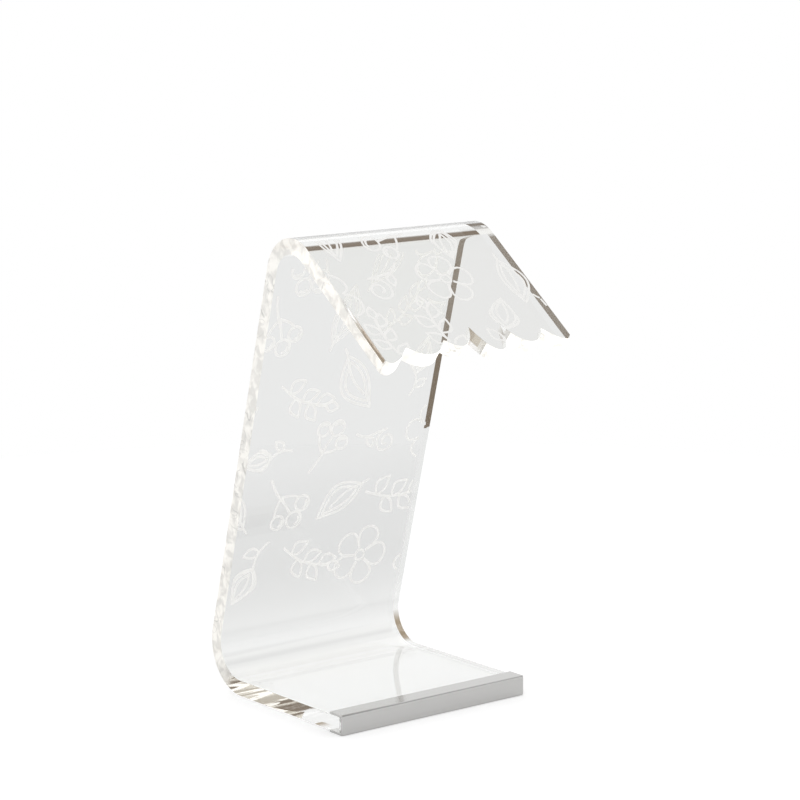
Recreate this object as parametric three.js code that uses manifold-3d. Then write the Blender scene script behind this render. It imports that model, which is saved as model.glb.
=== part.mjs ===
// Table lamp of one bent sheet of clear acrylic, lit through its front edge by a strip of LEDs
// Millimetres. X runs along the aluminium profile, the front faces -Y and Z is up
import * as THREE from 'three';
import { mergeVertices } from 'three/addons/utils/BufferGeometryUtils.js';
import Module from 'manifold-3d';

const wasm = await Module();
wasm.setup();

const radians = THREE.MathUtils.degToRad;

// The bent sheet
const lampWidth = 145;
const sheetThickness = 10;
const edgeArris = 0.4; // polished break along the edges of the two sides
const baseDepth = 107; // front of the profile to the start of the rear bend
const rearBendRadius = 21; // inside radius
const backLean = radians(14.7); // forwards from upright
const backLength = 248; // straight part of the back
const topBendRadius = 16; // inside radius
const lipDrop = radians(37.3); // below level
const lipLength = 98; // straight part of the lip, to its longest petal
const bendSegments = 20;

// The lip's free edge is a row of overlapping petals, the first and last one centred on the sides.
// A petal is half an ellipse: its centre, half width and reach, and how deep its flanks go
const petalDepth = 36;
const petalCorner = 4.5; // round where the free edge meets each side
const petalShares = [
  { centre: 0, halfWidth: 0.19, reach: 1 },
  { centre: 0.24, halfWidth: 0.155, reach: 0.965 },
  { centre: 0.42, halfWidth: 0.12, reach: 0.93 },
  { centre: 0.6, halfWidth: 0.09, reach: 1 },
  { centre: 0.79, halfWidth: 0.125, reach: 0.965 },
  { centre: 1, halfWidth: 0.165, reach: 0.985 },
];
const petalSegments = 116;

// The aluminium U profile along the base's front edge
const profileWall = 1.5;
const profileDepth = 13; // front face to the flange tips
const profileCorner = 0.6;
const profileTipRound = 0.35;
const profileInnerCorner = 0.3;
const slipFit = 0.05; // play over the sheet inside the profile

// The LED strip stuck to the inside of the profile's web
const stripWidth = 8;
const tapeThickness = 0.15;
const boardThickness = 0.25;
const segmentLength = 25; // the strip is cut to whole segments
const ledsPerSegment = 3;
const stripEndSpace = 8; // least space left at each end
const lightGap = 0.5; // from the LEDs to the sheet's edge

// One LED package: a white cup filled with phosphor gel
const ledWidth = 2.8; // along the strip
const ledLength = 3.5; // across the strip
const ledHeight = 0.8;
const ledCorner = 0.25;
const cupRim = 0.35;
const cupFloor = 0.3;
const gelRecess = 0.06; // gel surface below the cup's rim
const gelFit = 0.02;

// One chip resistor a segment, halfway between its last two LEDs
const resistorLength = 2;
const resistorWidth = 1.25;
const resistorHeight = 0.5;
const terminalLength = 0.4;
const terminalStep = 0.05; // terminals stand this far proud of the body

// The feed: two solder joints, two wires and the grommet that lets the lead in
const solderRadius = 0.85;
const solderHeight = 0.5;
const solderEdge = 1.3; // centre of a joint to the board's end
const feedSpread = 2.1; // each joint from the middle of the board
const wireRadius = 0.3;
const wireClearance = 0.05; // over the board
const wireSpacing = 0.8; // between the wires' middles in the grommet
const wireSetback = 1; // wire ends inside the grommet's outer face
const wireSides = 5; // points on half a turn
const wireSteps = 24;
const wireGap = 0.1; // joint to the wire's insulation
const solderSegments = 16;
const grommetLength = 5;
const grommetSetback = 1; // inside the profile's end
const grommetFit = 0.05;
const grommetCorner = 0.3;
const passageFit = 0.12; // round the wires

// The clear bumper feet under the rear of the base, as high as the profile's lower flange
const footRadius = 4.5;
const footRound = 0.4;
const footSideInset = 14; // middle of a foot to the sheet's side
const footRearInset = 8; // middle of a foot to the start of the rear bend
const footSegments = 32;

// How far a cutter runs past what it cuts, and the steps in a small rounded corner
const cutOverrun = 2;
const cornerSegments = 4;

// Places that follow from the sizes above
const sheetUnderside = profileWall;
const sheetTop = sheetUnderside + sheetThickness;
const chamberDepth = tapeThickness + boardThickness + ledHeight + lightGap;
const webInside = -baseDepth + profileWall;
const sheetFront = webInside + chamberDepth;
const profileInside = sheetThickness + slipFit;
const profileHeight = profileInside + profileWall + profileWall;
const chamberMiddle = profileWall + profileInside / 2;
const boardFace = webInside + tapeThickness + boardThickness;
const segmentCount = Math.max(1, Math.floor((lampWidth - stripEndSpace - stripEndSpace) / segmentLength));
const stripLength = segmentCount * segmentLength;
const ledPitch = segmentLength / ledsPerSegment;

// The side view of the sheet: bend centres and directions in the Y-Z plane
const rearBendCentre = new THREE.Vector2(0, sheetTop + rearBendRadius);
const backNormal = new THREE.Vector2(Math.cos(backLean), Math.sin(backLean));
const backDirection = new THREE.Vector2(-Math.sin(backLean), Math.cos(backLean));
const topBendCentre = rearBendCentre.clone()
  .addScaledVector(backNormal, rearBendRadius - topBendRadius)
  .addScaledVector(backDirection, backLength);
const lipNormalAngle = Math.PI / 2 + lipDrop;
const lipNormal = new THREE.Vector2(Math.cos(lipNormalAngle), Math.sin(lipNormalAngle));
const lipDirection = new THREE.Vector2(-Math.sin(lipNormalAngle), Math.cos(lipNormalAngle));
const lipStart = topBendCentre.clone().addScaledVector(lipNormal, topBendRadius + sheetThickness);

// The lamp stands with its origin under the middle of its whole depth
const rearmost = rearBendRadius + sheetThickness;
const frontmost = lipStart.x + lipDirection.x * lipLength * longestPetalAlong();
const originShift = -(rearmost + frontmost) / 2;

const finishes = {
  acrylic: { color: 0xf2f3f1, roughness: 0.05, metalness: 0, transparent: true, opacity: 0.35 },
  aluminium: { color: 0xc9cacb, roughness: 0.3, metalness: 1 },
  tape: { color: 0xf0efe9, roughness: 0.7, metalness: 0 },
  board: { color: 0xf4f3ee, roughness: 0.45, metalness: 0 },
  ledCup: { color: 0xf5f4ef, roughness: 0.4, metalness: 0 },
  phosphor: { color: 0xf3d27a, roughness: 0.35, metalness: 0, emissive: 0xfff1d0, emissiveIntensity: 1 },
  resistor: { color: 0x2a2a2c, roughness: 0.5, metalness: 0 },
  solder: { color: 0xb9bbbd, roughness: 0.3, metalness: 1 },
  redWire: { color: 0xb3241d, roughness: 0.45, metalness: 0 },
  blackWire: { color: 0x1c1c1e, roughness: 0.45, metalness: 0 },
  rubber: { color: 0xe6e6e2, roughness: 0.6, metalness: 0 },
  silicone: { color: 0xeeeeea, roughness: 0.3, metalness: 0, transparent: true, opacity: 0.5 },
};

// A closed geometry as a solid that can be cut and joined
function toSolid(geometry) {
  const bare = geometry.clone();
  bare.deleteAttribute('normal');
  bare.deleteAttribute('uv');
  const welded = mergeVertices(bare.index ? bare.toNonIndexed() : bare);
  return new wasm.Manifold(new wasm.Mesh({
    numProp: 3,
    vertProperties: new Float32Array(welded.attributes.position.array),
    triVerts: new Uint32Array(welded.index.array),
  }));
}

// A solid back as a geometry
function toGeometry(solid) {
  const mesh = solid.getMesh();
  const geometry = new THREE.BufferGeometry();
  geometry.setAttribute('position', new THREE.BufferAttribute(mesh.vertProperties, mesh.numProp));
  geometry.setIndex(new THREE.BufferAttribute(mesh.triVerts, 1));
  geometry.computeVertexNormals();
  return geometry;
}

// A side view in the Y-Z plane drawn out along X, centred on the lamp's middle
function extrudeAlongX(shape, length, options = {}) {
  const geometry = new THREE.ExtrudeGeometry(shape, { depth: length, bevelEnabled: false, ...options });
  geometry.translate(0, 0, -length / 2);
  const axes = [new THREE.Vector3(0, 1, 0), new THREE.Vector3(0, 0, 1), new THREE.Vector3(1, 0, 0)];
  return geometry.applyMatrix4(new THREE.Matrix4().makeBasis(...axes));
}

// A front view in the X-Z plane drawn out along +Y from zero
function extrudeAlongY(shape, depth, options = {}) {
  const geometry = new THREE.ExtrudeGeometry(shape, { depth, bevelEnabled: false, ...options });
  const axes = [new THREE.Vector3(-1, 0, 0), new THREE.Vector3(0, 0, 1), new THREE.Vector3(0, 1, 0)];
  return geometry.applyMatrix4(new THREE.Matrix4().makeBasis(...axes));
}

// A closed outline through corners, each with its own round
function roundedOutline(corners, target = new THREE.Shape()) {
  corners.forEach((corner, i) => {
    const before = corners[(i + corners.length - 1) % corners.length].at;
    const after = corners[(i + 1) % corners.length].at;
    const start = before.clone().sub(corner.at).setLength(corner.round).add(corner.at);
    const end = after.clone().sub(corner.at).setLength(corner.round).add(corner.at);
    if (i === 0) target.moveTo(start.x, start.y);
    else target.lineTo(start.x, start.y);
    target.quadraticCurveTo(corner.at.x, corner.at.y, end.x, end.y);
  });
  target.closePath();
  return target;
}

// A rectangle with rounded corners, centred on a point
function roundedRectangle(width, height, round, centre = new THREE.Vector2(), target = undefined) {
  const halfWidth = width / 2;
  const halfHeight = height / 2;
  const corners = [[-1, -1], [1, -1], [1, 1], [-1, 1]].map(([sideX, sideY]) => ({
    at: new THREE.Vector2(centre.x + sideX * halfWidth, centre.y + sideY * halfHeight),
    round,
  }));
  return roundedOutline(corners, target);
}

// The share of the lip's length that its longest petal reaches
function longestPetalAlong() {
  return Math.max(...petalShares.map((petal) => petal.reach));
}

// How far the lip's free edge reaches at a place across the lamp
function lipReach(across) {
  const heights = petalShares.map((petal) => {
    const offset = (across - lampWidth * (petal.centre - 0.5)) / (lampWidth * petal.halfWidth);
    const rise = offset * offset < 1 ? Math.sqrt(1 - offset * offset) : 0;
    return lipLength * petal.reach - petalDepth + petalDepth * rise;
  });
  const past = Math.min(petalCorner, Math.max(0, Math.abs(across) - lampWidth / 2 + petalCorner));
  const round = petalCorner - Math.sqrt((petalCorner - past) * (petalCorner + past));
  return Math.max(...heights) - round;
}

// A place across the lamp, moved so that the points of a corner round lie at even angles
function evenlyRound(across) {
  const flat = lampWidth / 2 - petalCorner;
  const past = Math.abs(across) - flat;
  if (past <= 0) return across;
  return Math.sign(across) * (flat + petalCorner * Math.sin(Math.PI / 2 * (past / petalCorner)));
}

// Side view of the sheet, from its front edge round both bends to the end of the lip's blank
function sheetOutline() {
  const lipBlank = lipLength + cutOverrun;
  const backStart = backLean;
  const outerRear = rearBendRadius + sheetThickness;
  const outerTop = topBendRadius + sheetThickness;
  const outerLip = lipStart.clone().addScaledVector(lipDirection, lipBlank);
  const innerLip = outerLip.clone().addScaledVector(lipNormal, -sheetThickness);
  const down = -Math.PI / 2;
  const shape = new THREE.Shape();
  shape.moveTo(sheetFront, sheetUnderside);
  shape.lineTo(rearBendCentre.x, sheetUnderside);
  shape.absarc(rearBendCentre.x, rearBendCentre.y, outerRear, down, backStart, false);
  shape.absarc(topBendCentre.x, topBendCentre.y, outerTop, backStart, lipNormalAngle, false);
  shape.lineTo(outerLip.x, outerLip.y);
  shape.lineTo(innerLip.x, innerLip.y);
  shape.absarc(topBendCentre.x, topBendCentre.y, topBendRadius, lipNormalAngle, backStart, true);
  shape.absarc(rearBendCentre.x, rearBendCentre.y, rearBendRadius, backStart, down, true);
  shape.lineTo(sheetFront, sheetTop);
  shape.closePath();
  return shape;
}

// What the router takes off the lip to leave the petals, in the lip's own plane
function petalCutter() {
  const side = lampWidth / 2 + cutOverrun;
  const end = lipLength + cutOverrun + cutOverrun;
  const shape = new THREE.Shape();
  shape.moveTo(-side, lipReach(-lampWidth / 2));
  for (let k = 0; k <= petalSegments; k += 1) {
    const across = evenlyRound(lampWidth * (k / petalSegments - 0.5));
    shape.lineTo(across, lipReach(across));
  }
  shape.lineTo(side, lipReach(lampWidth / 2));
  shape.lineTo(side, end);
  shape.lineTo(-side, end);
  shape.closePath();
  const depth = sheetThickness + cutOverrun + cutOverrun;
  const geometry = new THREE.ExtrudeGeometry(shape, { depth, bevelEnabled: false });
  geometry.translate(0, 0, -cutOverrun);
  const place = new THREE.Matrix4().makeBasis(
    new THREE.Vector3(1, 0, 0),
    new THREE.Vector3(0, lipDirection.x, lipDirection.y),
    new THREE.Vector3(0, -lipNormal.x, -lipNormal.y),
  );
  place.setPosition(0, lipStart.x, lipStart.y);
  return geometry.applyMatrix4(place);
}

// The bent sheet with its petal edge
function acrylicBody() {
  const blank = extrudeAlongX(sheetOutline(), lampWidth - edgeArris - edgeArris, {
    bevelEnabled: true,
    bevelThickness: edgeArris,
    bevelSize: edgeArris,
    bevelOffset: -edgeArris,
    bevelSegments: 1,
    curveSegments: bendSegments,
  });
  return toGeometry(toSolid(blank).subtract(toSolid(petalCutter())));
}

// The U profile, open to the rear over the sheet's front edge
function baseChannel() {
  const front = -baseDepth;
  const tips = front + profileDepth;
  const upperInside = profileHeight - profileWall;
  const corner = (y, z, round) => ({ at: new THREE.Vector2(y, z), round });
  const section = roundedOutline([
    corner(front, 0, profileCorner),
    corner(tips, 0, profileTipRound),
    corner(tips, profileWall, profileTipRound),
    corner(webInside, profileWall, profileInnerCorner),
    corner(webInside, upperInside, profileInnerCorner),
    corner(tips, upperInside, profileTipRound),
    corner(tips, profileHeight, profileTipRound),
    corner(front, profileHeight, profileCorner),
  ]);
  return extrudeAlongX(section, lampWidth, { curveSegments: cornerSegments });
}

// A flat layer of the strip, in the X-Z plane
function stripLayer(thickness) {
  const outline = roundedRectangle(stripLength, stripWidth, ledCorner);
  return extrudeAlongY(outline, thickness, { curveSegments: cornerSegments });
}

// The white cup of an LED package, its open side towards the sheet
function ledCup() {
  const round = { curveSegments: cornerSegments };
  const outside = extrudeAlongY(roundedRectangle(ledWidth, ledLength, ledCorner), ledHeight, round);
  const wellDepth = ledHeight - cupFloor;
  const well = extrudeAlongY(wellOutline(0), wellDepth + cutOverrun, round);
  well.translate(0, cupFloor, 0);
  return toGeometry(toSolid(outside).subtract(toSolid(well)));
}

// The phosphor gel that fills a cup
function ledGel() {
  const depth = ledHeight - cupFloor - gelRecess;
  const geometry = extrudeAlongY(wellOutline(gelFit), depth, { curveSegments: cornerSegments });
  return geometry.translate(0, cupFloor, 0);
}

// Outline of a cup's well, drawn in by a fit
function wellOutline(fit) {
  const inset = cupRim + fit;
  const round = (ledWidth - cupRim - cupRim) / 3;
  return roundedRectangle(ledWidth - inset - inset, ledLength - inset - inset, round);
}

// A chip resistor, its two terminals a step proud of the body
function chipResistor() {
  const end = resistorLength / 2;
  const bodyEnd = end - terminalLength;
  const low = resistorHeight - terminalStep;
  const section = new THREE.Shape();
  section.moveTo(-end, 0);
  section.lineTo(end, 0);
  section.lineTo(end, resistorHeight);
  section.lineTo(bodyEnd, resistorHeight);
  section.lineTo(bodyEnd, low);
  section.lineTo(-bodyEnd, low);
  section.lineTo(-bodyEnd, resistorHeight);
  section.lineTo(-end, resistorHeight);
  section.closePath();
  const geometry = new THREE.ExtrudeGeometry(section, { depth: resistorWidth, bevelEnabled: false });
  return geometry.translate(0, 0, -resistorWidth / 2);
}

// A dome of solder on the board, standing along +Y
function solderJoint() {
  const dome = new THREE.EllipseCurve(0, 0, solderRadius, solderHeight, 0, Math.PI / 2);
  const profile = [new THREE.Vector2(0, 0), ...dome.getPoints(cornerSegments)];
  profile[profile.length - 1].x = 0;
  return new THREE.LatheGeometry(profile, solderSegments);
}

// One feed wire, from beside its solder joint into the grommet
function feedWire(side) {
  const depth = boardFace + wireClearance + wireRadius;
  const jointEnd = stripLength / 2 - solderEdge + solderRadius + wireGap;
  const mouth = lampWidth / 2 - grommetSetback - grommetLength;
  const end = lampWidth / 2 - grommetSetback - wireSetback;
  const spread = side * feedSpread;
  const narrow = side * wireSpacing / 2;
  const straight = (mouth - jointEnd) / 4;
  const route = new THREE.CatmullRomCurve3([
    new THREE.Vector3(jointEnd, depth, chamberMiddle + spread),
    new THREE.Vector3(jointEnd + straight, depth, chamberMiddle + spread),
    new THREE.Vector3(mouth - straight, depth, chamberMiddle + narrow),
    new THREE.Vector3(mouth, depth, chamberMiddle + narrow),
    new THREE.Vector3(end, depth, chamberMiddle + narrow),
  ]);
  const section = new THREE.Shape().absarc(0, 0, wireRadius, 0, Math.PI * 2);
  return new THREE.ExtrudeGeometry(section, {
    extrudePath: route,
    steps: wireSteps,
    curveSegments: wireSides,
    bevelEnabled: false,
  });
}

// The grommet that closes the chamber's end round the two wires
function leadGrommet() {
  const thickness = chamberDepth - grommetFit - grommetFit;
  const height = profileInside - grommetFit - grommetFit;
  const middle = new THREE.Vector2(webInside + chamberDepth / 2, chamberMiddle);
  const section = roundedRectangle(thickness, height, grommetCorner, middle);
  const passage = new THREE.Vector2(boardFace + wireClearance + wireRadius, chamberMiddle);
  const passageWidth = (wireRadius + passageFit) * 2;
  const round = passageWidth / 3;
  const hole = roundedRectangle(passageWidth, passageWidth + wireSpacing, round, passage, new THREE.Path());
  section.holes.push(hole);
  return extrudeAlongX(section, grommetLength, { curveSegments: cornerSegments });
}

// A clear bumper foot, its worn edge rounded
function bumperFoot() {
  const height = sheetUnderside;
  const flat = footRadius - footRound;
  const edge = new THREE.EllipseCurve(flat, footRound, footRound, footRound, -Math.PI / 2, 0);
  const profile = [
    new THREE.Vector2(0, 0),
    ...edge.getPoints(cornerSegments),
    new THREE.Vector2(footRadius, height),
    new THREE.Vector2(0, height),
  ];
  return new THREE.LatheGeometry(profile, footSegments).rotateX(Math.PI / 2);
}

// A named piece in its finish, at its place
function piece(name, geometry, finish, place = new THREE.Vector3()) {
  const mesh = new THREE.Mesh(geometry, new THREE.MeshStandardMaterial(finishes[finish]));
  mesh.name = name;
  mesh.position.copy(place);
  return mesh;
}

// The strip with its LEDs and resistors, laid on the inside of the web
function ledStrip() {
  const strip = new THREE.Group();
  const tapePlace = new THREE.Vector3(0, webInside, chamberMiddle);
  const boardPlace = new THREE.Vector3(0, webInside + tapeThickness, chamberMiddle);
  strip.add(piece('strip_tape', stripLayer(tapeThickness), 'tape', tapePlace));
  strip.add(piece('strip_board', stripLayer(boardThickness), 'board', boardPlace));
  const cup = ledCup();
  const gel = ledGel();
  const resistor = chipResistor();
  for (let segment = 0; segment < segmentCount; segment += 1) {
    const start = segment * segmentLength - stripLength / 2;
    for (let k = 0; k < ledsPerSegment; k += 1) {
      const number = segment * ledsPerSegment + k + 1;
      const place = new THREE.Vector3(start + ledPitch * (k + 0.5), boardFace, chamberMiddle);
      strip.add(piece(`led_cup_${number}`, cup, 'ledCup', place));
      strip.add(piece(`led_gel_${number}`, gel, 'phosphor', place));
    }
    const gapMiddle = start + ledPitch * (ledsPerSegment - 1);
    const place = new THREE.Vector3(gapMiddle, boardFace, chamberMiddle);
    strip.add(piece(`strip_resistor_${segment + 1}`, resistor, 'resistor', place));
  }
  return strip;
}

// The solder joints, wires and grommet at the profile's right end
function feed() {
  const group = new THREE.Group();
  const jointAlong = stripLength / 2 - solderEdge;
  const joint = solderJoint();
  for (const [name, side, finish] of [['plus', 1, 'redWire'], ['minus', -1, 'blackWire']]) {
    const place = new THREE.Vector3(jointAlong, boardFace, chamberMiddle + side * feedSpread);
    group.add(piece(`solder_joint_${name}`, joint, 'solder', place));
    group.add(piece(`feed_wire_${name}`, feedWire(side), finish));
  }
  const grommetAlong = lampWidth / 2 - grommetSetback - grommetLength / 2;
  group.add(piece('lead_grommet', leadGrommet(), 'rubber', new THREE.Vector3(grommetAlong, 0, 0)));
  return group;
}

// The two feet under the rear of the base
function feet() {
  const group = new THREE.Group();
  const foot = bumperFoot();
  for (const [name, side] of [['left', -1], ['right', 1]]) {
    const along = side * (lampWidth / 2 - footSideInset);
    group.add(piece(`foot_${name}`, foot, 'silicone', new THREE.Vector3(along, -footRearInset, 0)));
  }
  return group;
}

const lamp = new THREE.Group();
lamp.add(piece('acrylic_body', acrylicBody(), 'acrylic'));
lamp.add(piece('base_channel', baseChannel(), 'aluminium'));
lamp.add(ledStrip());
lamp.add(feed());
lamp.add(feet());
lamp.position.y = originShift;

export default lamp;
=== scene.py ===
"""A table lamp: one bent sheet of clear acrylic, lit through its front edge by LEDs in a U profile.

Lengths are in metres. +Z is up, +X runs along the profile and the lamp faces -Y.
"""

import logging
import math
import random
from contextlib import contextmanager
from dataclasses import dataclass, field
from enum import Enum
from itertools import product
from typing import Callable, Iterator, Sequence

import bmesh
import bpy
from mathutils import Matrix, Vector


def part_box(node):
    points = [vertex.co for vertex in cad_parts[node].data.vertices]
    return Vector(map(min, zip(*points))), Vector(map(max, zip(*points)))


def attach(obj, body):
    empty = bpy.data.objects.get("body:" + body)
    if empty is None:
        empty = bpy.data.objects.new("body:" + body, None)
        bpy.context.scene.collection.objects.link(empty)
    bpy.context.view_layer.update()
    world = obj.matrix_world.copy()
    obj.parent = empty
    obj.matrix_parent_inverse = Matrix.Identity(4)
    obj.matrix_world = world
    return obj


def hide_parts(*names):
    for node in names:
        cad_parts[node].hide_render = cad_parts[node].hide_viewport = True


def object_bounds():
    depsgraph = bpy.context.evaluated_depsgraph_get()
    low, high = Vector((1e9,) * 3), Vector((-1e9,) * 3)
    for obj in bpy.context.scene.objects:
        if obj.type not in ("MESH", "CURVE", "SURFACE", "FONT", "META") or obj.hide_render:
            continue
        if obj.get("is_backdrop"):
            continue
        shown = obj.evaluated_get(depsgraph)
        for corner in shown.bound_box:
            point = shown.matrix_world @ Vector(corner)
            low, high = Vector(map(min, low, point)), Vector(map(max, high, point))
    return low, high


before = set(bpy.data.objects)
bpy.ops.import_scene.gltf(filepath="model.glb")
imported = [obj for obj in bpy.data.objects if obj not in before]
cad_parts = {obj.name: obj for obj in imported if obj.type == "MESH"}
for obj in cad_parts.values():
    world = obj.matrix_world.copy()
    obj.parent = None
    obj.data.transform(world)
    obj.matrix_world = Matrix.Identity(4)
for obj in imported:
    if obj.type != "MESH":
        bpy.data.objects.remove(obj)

LOG = logging.getLogger("lamp")
BODY = "root"
MM = 0.001
NEAR = 0.01 * MM

Colour = tuple[float, float, float, float]
Socket = bpy.types.NodeSocket
Piece = bpy.types.Object
Material = bpy.types.Material
Stroke = list[Vector]
Range = tuple[float, float]
Pair = tuple[float, float]
Triple = tuple[float, float, float]
Stop = tuple[float, Colour]


def grey(level: float) -> Colour:
    """Returns a neutral colour."""
    return (level, level, level, 1.0)


def share(value: float, low: float, high: float) -> float:
    """Returns how far a value has come from one level to another, from 0 to 1."""
    return min(1.0, max(0.0, (value - low) / (high - low)))


# Working on a piece


def clear_selection() -> None:
    """Leaves edit mode and deselects every object."""
    active = bpy.context.view_layer.objects.active
    if active is not None and active.mode != "OBJECT":
        bpy.ops.object.mode_set(mode="OBJECT")
    bpy.ops.object.select_all(action="DESELECT")


def pick(piece: Piece) -> None:
    """Makes a piece the only selected one, and the active one.

    Args:
        piece: The piece to work on.
    """
    clear_selection()
    piece.select_set(True)
    bpy.context.view_layer.objects.active = piece


@contextmanager
def editing(piece: Piece) -> Iterator[None]:
    """Opens a piece in edit mode with nothing selected, and closes it again.

    Args:
        piece: The piece to edit.

    Yields:
        Nothing, while the piece is open.
    """
    pick(piece)
    bpy.ops.object.mode_set(mode="EDIT")
    bpy.ops.mesh.select_mode(type="FACE")
    bpy.ops.mesh.select_all(action="DESELECT")
    yield
    bpy.ops.object.mode_set(mode="OBJECT")


def select_faces(piece: Piece, test: Callable[[bmesh.types.BMFace], bool]) -> None:
    """Selects the faces of a piece in edit mode that pass a test, and no others.

    Args:
        piece: The piece in edit mode.
        test: Says whether a face is wanted.
    """
    bpy.ops.mesh.select_mode(type="FACE")
    mesh = bmesh.from_edit_mesh(piece.data)
    for face in mesh.faces:
        face.select_set(test(face))
    bmesh.update_edit_mesh(piece.data)


def select_edges(piece: Piece, test: Callable[[Vector, Vector], bool]) -> None:
    """Selects the edges of a piece in edit mode that pass a test, and no others.

    Args:
        piece: The piece in edit mode.
        test: Says from an edge's two ends whether it is wanted.
    """
    bpy.ops.mesh.select_mode(type="EDGE")
    mesh = bmesh.from_edit_mesh(piece.data)
    for edge in mesh.edges:
        edge.select_set(test(edge.verts[0].co, edge.verts[1].co))
    bmesh.update_edit_mesh(piece.data)


def settle(piece: Piece) -> None:
    """Puts a piece's place, turn and scale into its mesh."""
    pick(piece)
    bpy.ops.object.transform_apply(location=True, rotation=True, scale=True)


def named(name: str) -> Piece:
    """Names the primitive that was just added.

    Args:
        name: The piece's name.

    Returns:
        The piece.
    """
    piece = bpy.context.object
    piece.name = name
    piece.data.name = name
    return piece


def block(name: str, low: Vector, high: Vector) -> Piece:
    """Adds a cube primitive stretched between two corners.

    Args:
        name: The piece's name.
        low: Its lowest corner.
        high: Its highest corner.

    Returns:
        The block, with its place in its mesh.
    """
    clear_selection()
    bpy.ops.mesh.primitive_cube_add(size=1, location=(low + high) / 2)
    piece = named(name)
    piece.scale = high - low
    settle(piece)
    return piece


def apply_modifier(piece: Piece, kind: str, **settings: object) -> None:
    """Adds a modifier to a piece and applies it.

    Args:
        piece: The piece to change.
        kind: The modifier's type.
        settings: Its settings by name.
    """
    modifier = piece.modifiers.new(kind.title(), kind)
    for key, value in settings.items():
        setattr(modifier, key, value)
    pick(piece)
    bpy.ops.object.modifier_apply(modifier=modifier.name)


def smooth(piece: Piece, angle: float = math.radians(35)) -> None:
    """Shades a piece smooth where its faces meet at less than an angle, with large faces kept flat.

    Args:
        piece: The piece to shade.
        angle: The widest angle that is smoothed.
    """
    pick(piece)
    bpy.ops.object.shade_smooth_by_angle(angle=angle)
    apply_modifier(piece, "WEIGHTED_NORMAL", keep_sharp=True, weight=100)


def join(name: str, parts: Sequence[Piece]) -> Piece:
    """Joins parts into one piece.

    Args:
        name: The piece's name.
        parts: The parts.

    Returns:
        The piece.
    """
    pick(parts[0])
    for part in parts:
        part.select_set(True)
    bpy.ops.object.join()
    return named(name)


def dress(piece: Piece, *materials: Material) -> None:
    """Gives a piece its materials in place of those it has.

    Args:
        piece: The piece to dress.
        materials: Its materials, one for each slot.
    """
    while len(piece.data.materials) < len(materials):
        piece.data.materials.append(None)
    for index in range(len(piece.data.materials)):
        piece.data.materials[index] = materials[min(index, len(materials) - 1)]


def seat(piece: Piece, slot: str, *nodes: str) -> None:
    """Makes a finished piece part of the lamp and reports it.

    Args:
        piece: The finished piece.
        slot: Not used.
        nodes: The CAD nodes that it replaces.
    """
    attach(piece, BODY)
    if nodes:
        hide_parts(*nodes)
    replaced = ", ".join(nodes) or "nothing"
    LOG.info("%s: %d faces, replaces %s", piece.name, len(piece.data.polygons), replaced)


# Node trees


class Nodes:
    """A node tree while it is being built."""

    def __init__(self, tree: bpy.types.NodeTree) -> None:
        """Keeps the tree."""
        self.tree = tree

    def add(self, kind: str, **settings: object) -> bpy.types.Node:
        """Adds a node.

        Args:
            kind: The node's type, without its ShaderNode prefix.
            settings: Its properties, or its inputs by name with underscores for spaces.

        Returns:
            The node.
        """
        node = self.tree.nodes.new("ShaderNode" + kind)
        for key, value in settings.items():
            if hasattr(node, key):
                setattr(node, key, value)
            else:
                self.fill(node.inputs[key.replace("_", " ")], value)
        return node

    def fill(self, target: Socket, value: object) -> None:
        """Gives an input a value or joins an output to it.

        Args:
            target: The input.
            value: The value or the output.
        """
        if isinstance(value, Socket):
            self.tree.links.new(value, target)
        else:
            target.default_value = value

    def calc(self, operation: str, *values: object) -> Socket:
        """Adds a Math node.

        Args:
            operation: What it does.
            values: Its values or the outputs that feed it.

        Returns:
            Its output.
        """
        node = self.add("Math", operation=operation)
        for target, value in zip(node.inputs, values):
            self.fill(target, value)
        return node.outputs[0]

    def step(self, value: Socket, low: float, high: float, bottom: float = 0.0, top: float = 1.0) -> Socket:
        """Adds a soft step between two levels.

        Args:
            value: What is measured.
            low: Where the step starts.
            high: Where it ends.
            bottom: The level before it.
            top: The level after it.

        Returns:
            The level.
        """
        node = self.add("MapRange", interpolation_type="SMOOTHSTEP", From_Min=low, From_Max=high)
        self.fill(node.inputs["To Min"], bottom)
        self.fill(node.inputs["To Max"], top)
        self.fill(node.inputs["Value"], value)
        return node.outputs["Result"]

    def blend(self, factor: object, first: object, second: object) -> Socket:
        """Mixes two colours.

        Args:
            factor: How much of the second there is.
            first: The first colour.
            second: The second colour.

        Returns:
            The mixed colour.
        """
        node = self.add("Mix", data_type="RGBA")
        for target, value in ((node.inputs[0], factor), (node.inputs[6], first), (node.inputs[7], second)):
            self.fill(target, value)
        return node.outputs[2]

    def scaled(self, colour: object, factor: object) -> Socket:
        """Multiplies a colour by a number.

        Args:
            colour: The colour.
            factor: The number.

        Returns:
            The product.
        """
        node = self.add("VectorMath", operation="SCALE")
        self.fill(node.inputs[0], colour if isinstance(colour, Socket) else colour[:3])
        self.fill(node.inputs["Scale"], factor)
        return node.outputs[0]

    def ramp(self, value: Socket, *stops: Stop) -> Socket:
        """Adds a colour ramp.

        Args:
            value: Where on the ramp to read.
            stops: The places and their colours.

        Returns:
            The colour.
        """
        node = self.add("ValToRGB", Fac=value)
        elements = node.color_ramp.elements
        while len(elements) < len(stops):
            elements.new(0.5)
        for element, (place, colour) in zip(elements, stops):
            element.position = place
            element.color = colour
        return node.outputs[0]


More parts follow.
